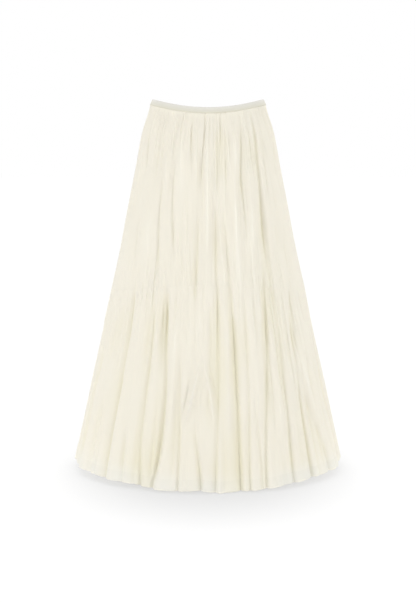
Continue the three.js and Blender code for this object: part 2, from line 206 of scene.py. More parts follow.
BACK_FOLDS = (
    # mostly in the upper tier
    (-38.0, -39.3, -40.3, -41.0, 40, 480, 2.2, 3.1, 4.3, 14, 0.10),
    (-19.5, -18.5, -17.7, -17.0, 24, 300, 2.2, 2.8, 2.7, 11, 0.10),
    (-29.0, -28.3, -28.3, -29.0, 120, 400, 1.5, 3.1, 3.1, 12, 0.10),
    (3.0, 4.3, 5.3, 6.0, 40, 470, 2.4, 3.1, 4.3, 13, 0.10),
    (-8.0, -7.3, -6.7, -6.0, 26, 190, 1.8, 2.5, 2.2, 10, 0.10),
    (24.5, 23.2, 22.0, 21.0, 22, 260, 2.2, 2.8, 2.2, 11, 0.10),
    (13.5, 13.2, 13.3, 14.0, 180, 420, 1.5, 3.1, 3.1, 12, 0.10),
    (45.0, 43.0, 41.3, 40.0, 60, 520, 2.2, 3.5, 4.3, 15, 0.10),
    (60.0, 58.7, 57.7, 57.0, 70, 400, 1.7, 3.7, 3.1, 17, 0.10),
    (-59.0, -57.7, -56.7, -56.0, 100, 440, 1.7, 3.7, 3.1, 17, 0.10),
    # mostly in the lower tier
    (-66.0, -66.7, -67.3, -68.0, 470, 1100, 1.4, 6.1, 4.5, 25, 0.30),
    (-52.0, -52.7, -53.2, -53.5, 415, 1100, 3.7, 4.1, 6.8, 20, 0.30),
    (-41.0, -40.7, -40.2, -39.5, 520, 1100, 3.0, 3.6, 4.5, 15, 0.30),
    (-30.0, -30.7, -30.5, -29.5, 380, 1100, 4.8, 4.1, 6.8, 19, 0.30),
    (-20.5, -21.2, -21.3, -21.0, 600, 1100, 3.0, 3.6, 3.7, 14, 0.30),
    (-12.0, -11.7, -12.0, -13.0, 430, 1100, 3.7, 3.6, 5.3, 15, 0.30),
    (-3.0, -3.3, -3.0, -2.0, 390, 1100, 5.2, 4.1, 6.8, 20, 0.30),
    (6.5, 7.2, 7.3, 7.0, 520, 1100, 3.0, 3.6, 4.5, 14, 0.30),
    (15.5, 15.2, 15.5, 16.5, 410, 1100, 4.4, 3.8, 6.1, 16, 0.30),
    (26.0, 25.3, 25.0, 25.0, 640, 1100, 3.0, 3.6, 4.5, 14, 0.30),
    (34.0, 34.3, 34.7, 35.0, 395, 1100, 5.2, 4.1, 6.8, 19, 0.30),
    (45.0, 44.3, 44.0, 44.0, 560, 1100, 3.0, 3.8, 4.5, 15, 0.30),
    (54.0, 54.3, 54.7, 55.0, 430, 1100, 3.7, 4.4, 6.8, 20, 0.30),
    (67.0, 67.3, 67.7, 68.0, 500, 1100, 1.4, 6.1, 4.5, 25, 0.30),
    (-46.5, -46.2, -46.0, -46.0, 640, 1100, 1.4, 4.1, 3.7, 14, 0.30),
    (-78.0, -78.5, -79.0, -80.0, 470, 1100, 2.1, 3.8, 4.5, 15, 0.30),
    (79.0, 79.2, 79.6, 80.0, 540, 1100, 1.9, 3.8, 3.7, 15, 0.30),
    (-73.0, -72.6, -72.4, -72.0, 610, 1100, 1.4, 3.3, 3.1, 13, 0.20),
    # soft ridges
    (-13.5, -12.8, -12.2, -12.0, 40, 360, -2.0, 4.0, -2.8, 10, 0.00),
    (-24.2, -23.6, -22.8, -22.5, 60, 330, -1.2, 4.0, -2.2, 9, 0.00),
    (-2.6, -1.8, -1.0, -0.6, 50, 300, -1.6, 4.0, -2.4, 9, 0.00),
    (9.2, 9.4, 9.8, 10.2, 90, 390, -1.0, 4.0, -2.4, 10, 0.00),
    (18.8, 18.3, 17.8, 17.4, 45, 250, -2.2, 4.0, -2.6, 9, 0.00),
    (34.0, 33.0, 31.6, 30.6, 70, 420, -1.4, 4.0, -2.4, 11, 0.00),
    (52.0, 51.0, 50.0, 49.6, 150, 430, -0.8, 5.0, -2.0, 12, 0.00),
    (-48.4, -47.8, -47.4, -47.0, 120, 400, -1.0, 5.0, -2.0, 11, 0.00),
    (-16.4, -16.0, -16.4, -16.8, 460, 790, -0.8, 4.0, -2.4, 10, 0.00),
    (-35.2, -35.4, -35.0, -34.6, 470, 800, -0.8, 5.0, -2.4, 10, 0.00),
    (1.8, 2.0, 2.2, 2.6, 455, 760, -0.8, 4.0, -2.2, 10, 0.00),
    (11.2, 11.6, 12.4, 14.6, 590, 750, -3.4, 3.2, -2.0, 8, 0.00),
    (20.6, 20.4, 20.2, 20.4, 460, 780, -0.8, 5.0, -2.4, 10, 0.00),
    (30.2, 29.8, 29.6, 29.8, 480, 820, -0.8, 5.0, -2.2, 10, 0.00),
    (49.4, 49.6, 49.8, 50.2, 470, 800, -0.8, 5.0, -2.4, 11, 0.00),
)
FOLD_FADE = (30.0, 0.24)  # a valley fades in and out over this much drop, plus a share of its length
HEM_GROWTH = 0.5  # share of its depth that a valley running to the hem has at its top
HEM_OPENING = 0.30  # and the share that it gains just above the hem, where it opens
HEM_OPENING_POWER = 10  # the higher, the closer to the hem that begins
CORE_SKEW = 1.5  # how strongly the skew works on the core
BASIN_SKEW = 5.0  # and on the basin
PINCH = 0.45  # how strongly the cloth beside a crease is drawn along into it

# Gathers and ripples that start at a sewn edge, drawn at random with the side's own seed. The
# direction is 1 down from the edge and -1 up. Away is how far from the edge they start, and length
# how far they run; the four pairs are ranges. Spread is what each millimetre of that adds to
# their half width.
GATHER_COLUMNS = ("edge", "direction", "spacing", "away", "length", "depth", "width", "spread")
GATHERS = (
    ("band", 1, 5.0, (-6, 2), (50, 260), (0.5, 1.4), (1.1, 1.8), 0.006),
    ("band", 1, 13.0, (-4, 6), (90, 300), (0.8, 2.0), (2.2, 4.0), 0.012),
    ("band", 1, 24.0, (0, 150), (200, 430), (0.8, 2.2), (4.0, 8.0), 0.005),
    ("tier", 1, 7.0, (-12, 14), (60, 260), (0.4, 1.2), (1.6, 2.4), 0.008),
    ("tier", 1, 16.0, (-8, 20), (110, 360), (0.9, 2.4), (2.6, 5.0), 0.012),
    ("tier", 1, 30.0, (0, 200), (180, 440), (1.2, 3.4), (6.0, 12.0), 0.006),
    ("tier", -1, 8.0, (-12, 2), (40, 220), (0.4, 1.2), (1.5, 2.3), 0.005),
    ("hem", -1, 28.0, (-60, 30), (140, 420), (1.2, 3.4), (5.0, 10.0), -0.004),
)
GATHER_SEEDS = {"front": 11, "back": 23}
GATHER_FIRST = (0.3, 1.0)  # where the first one stands, in spacings from the side seam
GATHER_STEPS = (0.55, 1.45)  # from one to the next, in spacings
GATHER_LEAN = 0.012  # typical lean to either side
GATHER_RISE = 12.0  # it gets to its full depth over this distance
GATHER_HOLD = 0.25  # and loses it again after this share of its length
GATHER_REACH_WIDTHS = 8  # it is worked out as far to each side as this many of its widths,
GATHER_REACH_LENGTHS = 0.05  # this share of its length
GATHER_REACH_TURN = 1  # and this turn together

# Patches of fine parallel pleats, placed one by one. Span is the half width of the patch and
# spacing the distance between its pleats, both in millimetres where the patch starts.
PLEAT_COLUMNS = ("turn_top", "turn_bottom", "top", "bottom", "span", "spacing", "depth")
FRONT_PLEATS = (
    (4.5, 3.0, 24, 400, 24, 4.6, 1.4),
    (-18.0, -13.0, 215, 520, 26, 5.4, 1.4),
    (-33.0, -31.0, 330, 560, 24, 5.2, 1.6),
    (28.0, 26.0, 150, 470, 22, 5.6, 1.0),
    (24.0, 22.0, 330, 640, 26, 5.8, 1.3),
    (47.0, 45.0, 360, 760, 46, 6.0, 1.8),
    (-8.0, -6.0, 400, 640, 30, 5.6, 1.3),
    (16.0, 14.0, 20, 170, 40, 4.4, 1.3),
    (-40.0, -34.0, 30, 330, 44, 5.6, 0.7),
    (-18.0, -16.0, 20, 170, 34, 4.8, 1.3),
    (40.0, 38.0, 26, 260, 34, 4.8, 0.7),
    (-62.0, -62.0, 420, 860, 60, 8.0, 0.6),
    (68.0, 68.0, 60, 430, 40, 6.4, 0.6),
    (72.0, 70.0, 440, 760, 50, 7.0, 0.9),
    (-76.0, -76.0, 30, 420, 36, 6.2, 0.6),
    (3.0, 1.0, 440, 760, 26, 6.2, 1.1),
)
BACK_PLEATS = (
    (-6.0, -5.0, 22, 380, 26, 4.8, 1.4),
    (12.0, 9.0, 200, 560, 26, 5.6, 1.4),
    (30.0, 28.0, 24, 300, 34, 5.2, 1.3),
    (-26.0, -24.0, 330, 640, 30, 5.4, 1.6),
    (-30.0, -28.0, 20, 200, 30, 4.8, 1.3),
    (42.0, 41.0, 340, 720, 40, 6.0, 1.6),
    (20.0, 20.0, 420, 700, 30, 6.0, 1.3),
    (-47.0, -46.0, 400, 760, 36, 6.2, 1.4),
    (-66.0, -66.0, 60, 440, 40, 6.4, 1.1),
    (64.0, 64.0, 80, 460, 40, 6.4, 1.1),
    (72.0, 72.0, 450, 860, 60, 7.6, 1.4),
    (-72.0, -72.0, 460, 820, 50, 7.2, 1.6),
)
PLEAT_SEEDS = {"front": 111, "back": 123}
PLEAT_WIDTH = 0.36  # half width of a pleat, as a share of the spacing
PLEAT_STEPS = (0.75, 1.3)  # from one to the next, in spacings
PLEAT_DEPTHS = (0.5, 1.4)  # shares of the patch's depth
PLEAT_EDGE_LOSS = 0.6  # share of its depth that a pleat at the patch's edge lacks
PLEAT_STARTS = (-0.1, 0.3)  # from the patch's top, as shares of its length
PLEAT_ENDS = (-0.1, 0.35)  # from its bottom
PLEAT_RISE = 0.25  # a pleat gets to its full depth over this share of the length
PLEAT_FALL = 0.3  # and loses it over this one
PLEAT_REACH = 14  # it is worked out as far to each side as this turn

# Width and length of each piece as cut, in metres.
CUT = {
    "upper": (0.70, 0.44),
    "lower": (1.10, 0.45),
    "lining": (0.855, 0.87),
    "band": (0.71, 0.014),
}

# Grid of each piece: columns round and rows down. A power over 1 puts the upper rows
# closer together.
PANEL_COLUMNS = 720
UPPER_ROWS = 62
LOWER_ROWS = 64
HEM_STRIP_ROWS = 4
PANEL_ROW_POWER = 1.15
LINING_COLUMNS = 120
LINING_ROWS = 40
LINING_ROW_POWER = 1.3
BAND_COLUMNS = 760
BAND_ROWS = 28

SIDES = {
    "front": {
        "facing": -1,  # the sign of its Y
        "dip": WAIST_DIP_FRONT,
        "rise": TIER_SEAM_RISE_FRONT,
        "folds": FRONT_FOLDS,
        "pleats": FRONT_PLEATS,
    },
    "back": {
        "facing": 1,
        "dip": WAIST_DIP_BACK,
        "rise": TIER_SEAM_RISE_BACK,
        "folds": BACK_FOLDS,
        "pleats": BACK_PLEATS,
    },
}


# ---------------------------------------------------------------- the form
def smoothstep(x, low, high):
    """From 0 at low to 1 at high, with a smooth start and end."""
    share = np.clip((x - low) / (high - low), 0, 1)
    return share * share * (3 - 2 * share)


def hill(x, centre, half_width):
    """1 at its centre, and next to nothing two half widths away."""
    return np.exp(-(((x - centre) / half_width) ** 2))


def waves(turn, table):
    """The sum of a table's waves, each as its height, count round the form and start."""
    return sum(high * np.sin(np.radians(count * turn + start)) for high, count, start in table)


def towards_centre(turn):
    """From 0 at the side seams to 1 at the centre line."""
    return np.cos(np.radians(turn)) ** 2


def side_calm(turn, kind):
    """From 0 at the side seams to 1 where that kind of unevenness has its full height."""
    return smoothstep(90 - np.abs(turn), 0, SIDE_CALM[kind])


def ring_value(column, drop):
    """A column of RINGS at any drop, on a smooth curve through the rings."""
    drops = np.array([row[0] for row in RINGS], float)
    values = np.array([row[RING_COLUMNS.index(column)] for row in RINGS], float)
    steps = np.diff(values) / np.diff(drops)
    slopes = np.concatenate(([steps[0]], (steps[:-1] + steps[1:]) / 2, [steps[-1]]))
    place = np.clip(np.searchsorted(drops, drop) - 1, 0, len(drops) - 2)
    span = drops[place + 1] - drops[place]
    t = (drop - drops[place]) / span
    inside = np.clip(t, 0, 1)
    curve = (
        values[place] * (1 + 2 * inside) * (1 - inside) ** 2
        + slopes[place] * span * inside * (1 - inside) ** 2
        + values[place + 1] * inside**2 * (3 - 2 * inside)
        + slopes[place + 1] * span * inside**2 * (inside - 1)
    )
    return curve + np.where(t > 1, slopes[-1], slopes[0]) * (t - inside) * span


def edge_height(edge, side, turn):
    """The height of a sewn edge or the hem at a turn, below the waist as a negative number."""
    own = SIDES[side]
    if edge == "band_top":
        return -own["dip"] * towards_centre(turn)
    if edge == "band":
        return -own["dip"] * towards_centre(turn) - BAND_HEIGHT
    if edge == "tier":
        return -TIER_SEAM_SIDE + own["rise"] * towards_centre(turn)
    if edge == "lining_hem":
        return -HEM_SIDE - HEM_DIP * towards_centre(turn) + LINING_SHORTER
    return -HEM_SIDE - HEM_DIP * towards_centre(turn)


def ring_drop(side, turn, height):
    """The drop whose ring a point lies on: near the waist the rings dip with the band."""
    dip = SIDES[side]["dip"] * towards_centre(turn)
    return -height - dip * (1 - smoothstep(-height - dip - BAND_HEIGHT, 0, WAIST_EASE))


def hem_wave(turn):
    """How far the hem lies above its even line. Here the turn is positive towards -X on both
    sides of the skirt, so that the two hems meet at the side seams."""
    lobes = sum(high * hill(turn, centre, half_width) for high, centre, half_width in HEM_LOBES)
    return waves(turn, HEM_WAVES) + lobes


def hem_painted_shade(turn):
    """How much painted shade the cloth has above the hem, where the lining has ended and the shaded
    inside shows through, from 0 to 1.
    """
    patches = sum(hill(turn, centre, half_width) for centre, half_width in HEM_SHADE_PATCHES)
    return np.clip(HEM_SHADE_BETWEEN + (1 - HEM_SHADE_BETWEEN) * patches, 0, 1)


def hem_gleam(turn):
    """Where the rolled hem gets a painted highlight, from 0 to 1, partly for the lighter look
    of its doubled cloth.
    """
    return smoothstep(waves(turn, GLEAM_WAVES), *GLEAM_RANGE)


def sway(turn, drop):
    """The form's slight unevenness, as waves that run round and down it at once."""
    total = sum(
        high * np.sin(np.radians(count * turn + 360 * drop / length + start))
        for high, count, length, start in SWAY_WAVES
    )
    return total * smoothstep(drop, *SWAY_START)


def arc_per_degree(side, turn, drop):
    """How far it is round the form for one degree of turn."""
    angle = np.radians(turn)
    across = ring_value("half_width", drop) * np.cos(angle)
    deep = ring_value(side, drop) * np.sin(angle)
    return np.radians(1) * np.hypot(across, deep)


def form_point(side, turn, drop, height, out, along):
    """Points of the form, moved out from it and along it, as an array of x, y and z in metres."""
    turn = turn + along / arc_per_degree(side, turn, drop)
    angle = np.radians(turn)
    half_width = ring_value("half_width", drop)
    depth = ring_value(side, drop)
    nx, ny = depth * np.sin(angle), half_width * np.cos(angle)
    length = np.hypot(nx, ny)
    x = half_width * np.sin(angle) + nx / length * out
    y = SIDES[side]["facing"] * (depth * np.cos(angle) + ny / length * out)
    return np.stack((x, y, height), axis=-1) * MM


# ---------------------------------------------------------------- folds, pleats and gathers
def through_four(values, run):
    """A smooth curve through four evenly spaced values, at a share of the way along it."""
    t = 3 * run
    first = values[0] * (1 - t) * (2 - t) * (3 - t) / 6
    second = values[1] * t * (2 - t) * (3 - t) / 2
    third = values[2] * t * (t - 1) * (3 - t) / 2
    fourth = values[3] * t * (t - 1) * (t - 2) / 6
    return first + second + third + fourth


def lopsided(arc, skew):
    """Widens a valley's left flank and narrows its right one."""
    return np.where(arc < 0, 1 + skew, 1 / (1 + skew))


def fold_shape(side, turn, drop):
    """What the main creases add: out from the form, and along it where a crease pulls in."""
    out = np.zeros_like(turn)
    along = np.zeros_like(turn)
    scale = arc_per_degree(side, turn, drop)
    for values in SIDES[side]["folds"]:
        fold = dict(zip(FOLD_COLUMNS, values))
        end = min(fold["bottom"], HEM_SIDE)
        run = np.clip((drop - fold["top"]) / (end - fold["top"]), 0, 1)
        arc = (turn - through_four(values[:4], run)) * scale
        fade = FOLD_FADE[0] + FOLD_FADE[1] * (end - fold["top"])
        rise = smoothstep(drop, fold["top"], fold["top"] + fade)
        fall = 1 - smoothstep(drop, fold["bottom"] - fade, fold["bottom"])
        growth = 1
        if fold["bottom"] > HEM_SIDE:
            growth = HEM_GROWTH + (1 - HEM_GROWTH) * run + HEM_OPENING * run**HEM_OPENING_POWER
        core = hill(arc / lopsided(arc, CORE_SKEW * fold["skew"]), 0, fold["core_width"])
        basin = hill(arc / lopsided(arc, BASIN_SKEW * fold["skew"]), 0, fold["basin_width"])
        out -= rise * fall * growth * (fold["core"] * core + fold["basin"] * basin)
        along -= PINCH * rise * fall * growth * fold["core"] * (arc / fold["basin_width"]) * basin
    calm = side_calm(turn, "folds")
    return out * calm, along * calm


def pleat_shape(side, turn, drop):
    """What the patches of fine pleats add, out from the form."""
    out = np.zeros_like(turn)
    draw = np.random.default_rng(PLEAT_SEEDS[side])
    for values in SIDES[side]["pleats"]:
        patch = dict(zip(PLEAT_COLUMNS, values))
        length = patch["bottom"] - patch["top"]
        per_degree = arc_per_degree(side, patch["turn_top"], patch["top"])
        half_width = PLEAT_WIDTH * patch["spacing"] / per_degree
        course = patch["turn_bottom"] - patch["turn_top"]
        offset = -patch["span"]
        while offset < patch["span"]:
            start = patch["top"] + draw.uniform(*PLEAT_STARTS) * length
            finish = patch["bottom"] - draw.uniform(*PLEAT_ENDS) * length
            depth = patch["depth"] * draw.uniform(*PLEAT_DEPTHS)
            depth *= 1 - PLEAT_EDGE_LOSS * (offset / patch["span"]) ** 2
            place = patch["turn_top"] + offset / per_degree
            near = np.abs(turn[0] - place) < PLEAT_REACH
            down = drop[:, near]
            run = np.clip((down - patch["top"]) / length, 0, 1)
            rise = smoothstep(down, start, start + PLEAT_RISE * length)
            fall = 1 - smoothstep(down, finish - PLEAT_FALL * length, finish)
            out[:, near] -= depth * rise * fall * hill(turn[:, near], place + course * run, half_width)
            offset += patch["spacing"] * draw.uniform(*PLEAT_STEPS)
    return out * side_calm(turn, "pleats")


def gather_shape(side, turn, drop):
    """What the gathers and ripples add, out from the form."""
    out = np.zeros_like(turn)
    draw = np.random.default_rng(GATHER_SEEDS[side])
    for values in GATHERS:
        kind = dict(zip(GATHER_COLUMNS, values))
        per_degree = arc_per_degree(side, 0.0, -edge_height(kind["edge"], side, 0.0))
        spacing = kind["spacing"] / per_degree
        place = -90 + spacing * draw.uniform(*GATHER_FIRST)
        distance = kind["direction"] * (edge_height(kind["edge"], side, turn[0]) + drop)
        while place < 90:
            away = draw.uniform(*kind["away"])
            length = draw.uniform(*kind["length"])
            depth = draw.uniform(*kind["depth"])
            width = draw.uniform(*kind["width"])
            lean = draw.normal(0, GATHER_LEAN)
            reach = GATHER_REACH_WIDTHS * width + GATHER_REACH_LENGTHS * length
            near = np.abs(turn[0] - place) < reach / per_degree + GATHER_REACH_TURN
            run = distance[:, near] - away
            arc = (turn[:, near] - place) * arc_per_degree(side, turn[:, near], drop[:, near])
            half_width = width + np.maximum(run, 0) * kind["spread"]
            rise = smoothstep(run, 0, GATHER_RISE)
            fall = 1 - smoothstep(run, GATHER_HOLD * length, length)
            out[:, near] -= depth * rise * fall * hill(arc, lean * run, half_width)
            place += spacing * draw.uniform(*GATHER_STEPS)
    return out * side_calm(turn, "gathers")


# ---------------------------------------------------------------- meshes
def wall_mesh(name, outer, inner, uv, loop=False):
    """A closed thin wall between two grids of points, rows going down and columns round."""
    rows, columns = outer.shape[:2]
    points = np.concatenate((outer.reshape(-1, 3), inner.reshape(-1, 3)))
    number = np.arange(rows * columns).reshape(rows, columns)
    far = np.roll(number, -1, axis=1)
    if not loop:
        number, far = number[:, :-1], far[:, :-1]
    shift = rows * columns
    quads = [
        np.stack((number[:-1], number[1:], far[1:], far[:-1]), -1).reshape(-1, 4),
        np.stack((number[:-1], far[:-1], far[1:], number[1:]), -1).reshape(-1, 4) + shift,
        np.stack((number[0], far[0], far[0] + shift, number[0] + shift), -1),
        np.stack((number[-1], number[-1] + shift, far[-1] + shift, far[-1]), -1),
    ]
    if not loop:
        first, last = number[:, 0], far[:, -1]
        quads.append(np.stack((first[:-1], first[:-1] + shift, first[1:] + shift, first[1:]), -1))
        quads.append(np.stack((last[:-1], last[1:], last[1:] + shift, last[:-1] + shift), -1))
    quads = np.concatenate(quads)
    mesh = bpy.data.meshes.new(name)
    mesh.from_pydata(points.tolist(), [], quads.tolist())
    layer = mesh.uv_layers.new(name="cut")
    both = np.concatenate((uv.reshape(-1, 2), uv.reshape(-1, 2)))
    layer.data.foreach_set("uv", both[quads.ravel()].astype(np.float32).ravel())
    mesh.polygons.foreach_set("use_smooth", np.ones(len(quads), bool))
    mesh.validate()
    mesh.set_sharp_from_angle(angle=math.radians(SHARP_ANGLE))
    mesh.update()
    piece = bpy.data.objects.new(name, mesh)
    bpy.context.scene.collection.objects.link(piece)
    return piece


def turn_grid(columns, rows):
    """A panel's turns from side seam to side seam, the same in each of its rows."""
    return np.tile(np.linspace(-1, 1, columns + 1) * 90, (rows + 1, 1))


def panel_wall(name, side, turn, share, height, out, along, half, cut):
    """A panel of half the given thickness on either side of a surface that is laid on the form.
    Its uv map says where each point lies on the piece as cut, in metres."""
    flip = -SIDES[side]["facing"]
    ring = ring_drop(side, turn, height)
    outer = form_point(side, turn * flip, ring, height, out + half, along * flip)
    inner = form_point(side, turn * flip, ring, height, out - half, along * flip)
    down = np.broadcast_to(-share[:, None] * cut[1], turn.shape)
    return wall_mesh(name, outer, inner, np.stack((turn / 180 * cut[0], down), -1))


def row_shares(bottom_edge, rows, length):
    """Where an outer panel's rows lie, as shares of its length: close together where the top edge
    is tucked in and at the hem, and in between a little closer at the top."""
    tuck = [0, TUCK - TUCK_STEP, TUCK]
    edge = [length]
    if bottom_edge == "hem":
        strip = np.linspace(LINING_SHORTER, 2 * HEM_ROLL, HEM_STRIP_ROWS)
        edge = length - np.concatenate((strip, HEM_ROLL_ROWS))
    start = TUCK + TUCK_STEP
    between = np.linspace(0, 1, rows + 1 - len(tuck) - len(edge), endpoint=False)
    down = start + between**PANEL_ROW_POWER * (edge[0] - start)
    return np.concatenate((tuck, down, edge)) / length


def rolled_hem(turn, above):
    """For points so far above the hem: how far its roll stands out on each face, and how strong its
    painted highlight is where it gleams."""
    up = above / HEM_ROLL
    on_roll = up <= HEM_ROLL_TOP
    roll = HEM_ROLL_OUT * np.sqrt(np.clip(1 - (2 * up - 1) ** 2, 0, 1)) * on_roll
    return roll, hem_gleam(turn) * on_roll


def cloth_panel(name, side, top_edge, bottom_edge, rows, cut):
    """One tier's front or back, with its folds, gathers, tucked top edge and rolled hem. Its fold
    shading value, for the painted shade in creases and painted highlight on ridges, is 0 on high
    ridges, 0.5 on plain cloth and 1 in deep creases."""
    turn = turn_grid(PANEL_COLUMNS, rows)
    high = edge_height(top_edge, side, turn[0]) + TUCK
    low = edge_height(bottom_edge, side, turn[0])
    length = np.mean(high - low)
    share = row_shares(bottom_edge, rows, length)
    if bottom_edge == "hem":
        low = low + hem_wave(turn[0] * SIDES[side]["facing"])
    height = high + (low - high) * share[:, None]
    drop = -height
    out, along = fold_shape(side, turn, drop)
    out += pleat_shape(side, turn, drop) + gather_shape(side, turn, drop)
    out += sway(turn, drop) * side_calm(turn, "sway")
    # Painted shade in the creases and painted highlight on the ridges, following the folds' depth.
    fold_shading = np.clip(0.5 - 0.5 * out / np.where(out < 0, CREASE_DEPTH, RIDGE_HEIGHT), 0, 1)
    out -= TUCK_IN * smoothstep(height - (high - TUCK), 0, TUCK_STEP)
    from_seam = (90 - np.abs(turn)) * arc_per_degree(side, turn, drop)
    out -= SIDE_SEAM_DEPTH * hill(from_seam, 0, SIDE_SEAM_WIDTH)
    roll, hem_shade = np.zeros_like(turn), np.zeros_like(turn)
    if bottom_edge == "hem":
        above = height - low
        roll, gleam = rolled_hem(turn, above)
        # Where the rolled hem gleams: a painted highlight, and no painted shade.
        fold_shading = fold_shading * (1 - gleam)
        # Painted shade above the hem, where the shaded inside shows through the unlined cloth.
        hem_shade = hem_painted_shade(turn) * (1 - smoothstep(above, *SHEER_FADE)) * (1 - gleam)
    half = CLOTH_THICKNESS / 2 + roll
    piece = panel_wall(name, side, turn, share, height, out, along, half, cut)
    for label, values in (("fold_shading", fold_shading), ("hem", hem_shade)):
        attribute = piece.data.attributes.new(label, "FLOAT", "POINT")
        attribute.data.foreach_set("value", np.tile(values.ravel(), 2).astype(np.float32))
    piece.data.materials.append(cloth)
    if bottom_edge == "hem":
        piece.data.materials.append(sheer)
        mark_sheer_strip(piece, rows, length * (1 - share))
    return piece


def mark_sheer_strip(piece, rows, above):
    """Gives the rows between the lining's hem and the rolled hem the sheer material."""
    middle = (above[:-1] + above[1:]) / 2
    strip = (middle < LINING_SHORTER) & (middle > HEM_ROLL)
    slots = np.zeros(len(piece.data.polygons), np.int32)
    slots[: 2 * rows * PANEL_COLUMNS] = np.tile(np.repeat(strip, PANEL_COLUMNS), 2)
    piece.data.polygons.foreach_set("material_index", slots)


def lining_panel(name, side, cut):
    """One half of the plain lining, with slow waves that set in towards its hem."""
    turn = turn_grid(LINING_COLUMNS, LINING_ROWS)
    share = np.linspace(0, 1, LINING_ROWS + 1) ** LINING_ROW_POWER
    high = edge_height("band", side, turn[0])
    low = edge_height("lining_hem", side, turn[0])
    height = high + (low - high) * share[:, None]
    drop = ring_drop(side, turn, height)
    out = waves(turn, LINING_WAVES) * smoothstep(drop, *LINING_WAVE_START)
    out -= ring_value("lining_in", drop)
    along = np.zeros_like(turn)
    piece = panel_wall(name, side, turn, share, height, out, along, LINING_THICKNESS / 2, cut)
    piece.data.materials.append(lining)
    return piece


def waistband(name, cut):
    """The elastic loop: a flat band with rounded edges, ribs round it and a slight pucker."""
    position = np.linspace(0, 1, BAND_COLUMNS, endpoint=False) * 360 - 90
    front = position < 90
    own = np.where(front, position, 180 - position)
    draw = np.random.default_rng(BAND_SEED)
    pucker = BAND_PUCKER * draw.uniform(-1, 1, BAND_COLUMNS)
    pucker = (pucker + np.roll(pucker, 1)) / 2
    outer = np.zeros((BAND_ROWS + 1, BAND_COLUMNS, 3))
    inner = np.zeros_like(outer)
    uv = np.zeros((BAND_ROWS + 1, BAND_COLUMNS, 2))
    uv[:, :, 0] = position / 360 * cut[0]
    for row, down in enumerate(np.linspace(0, BAND_HEIGHT, BAND_ROWS + 1)):
        from_edge = min(down, BAND_HEIGHT - down)
        rounding = math.sqrt(1 - max(0, 1 - from_edge / BAND_EDGE) ** 2)
        rib = BAND_RIB_DEPTH * math.cos(2 * math.pi * down / BAND_RIB)
        thickness = BAND_THICKNESS * (BAND_EDGE_SHARE + (1 - BAND_EDGE_SHARE) * rounding)
        half = thickness / 2 + (rib + pucker) * rounding
        uv[row, :, 1] = -down * MM
        for side, mask in (("front", front), ("back", ~front)):
            turn = own[mask]
            height = edge_height("band_top", side, turn) - down
            drop = np.full_like(turn, down)
            along = np.zeros_like(turn)
            outer[row, mask] = form_point(side, turn, drop, height, BAND_OUT + half[mask], along)
            inner[row, mask] = form_point(side, turn, drop, height, BAND_OUT - half[mask], along)
    piece = wall_mesh(name, outer, inner, uv, loop=True)
    piece.data.materials.append(elastic)
    return piece


# ---------------------------------------------------------------- materials
# How fine each noise is: its grains to a metre of the cloth as cut, round it and down it.
WEAVE = (2400, 2400, 1)
CRINKLES = (620, 620 / 26, 1)
CRINKLE_PATCHES = (26, 7, 1)
MOTTLE = (9, 5, 1)
ELASTIC_WEAVE = (1500, 700, 1)

CLOTH_FLAT = ((0.916, 0.886, 0.804), (0.938, 0.914, 0.853))
# Painted shade for the creases and painted highlight for the ridges.
CLOTH_CREASE_SHADE = (0.905, 0.874, 0.738)
CLOTH_RIDGE_HIGHLIGHT = (0.962, 0.944, 0.885)
# Painted shade above the hem.
CLOTH_HEM_SHADE = (0.89, 0.885, 0.85)
CLOTH_THROUGH = (0.93, 0.91, 0.82)  # the colour of the light that comes through
THROUGH_SHARE = 0.42  # and how much of the cloth's look it is
SHEER_ALPHA = 0.965  # above the hem the cloth is a little see-through
LINING_COLOURS = ((0.868, 0.838, 0.736), (0.892, 0.862, 0.764))
ELASTIC_TOP = (0.63, 0.62, 0.58)
ELASTIC_BOTTOM_SHADED = (0.58, 0.56, 0.465)


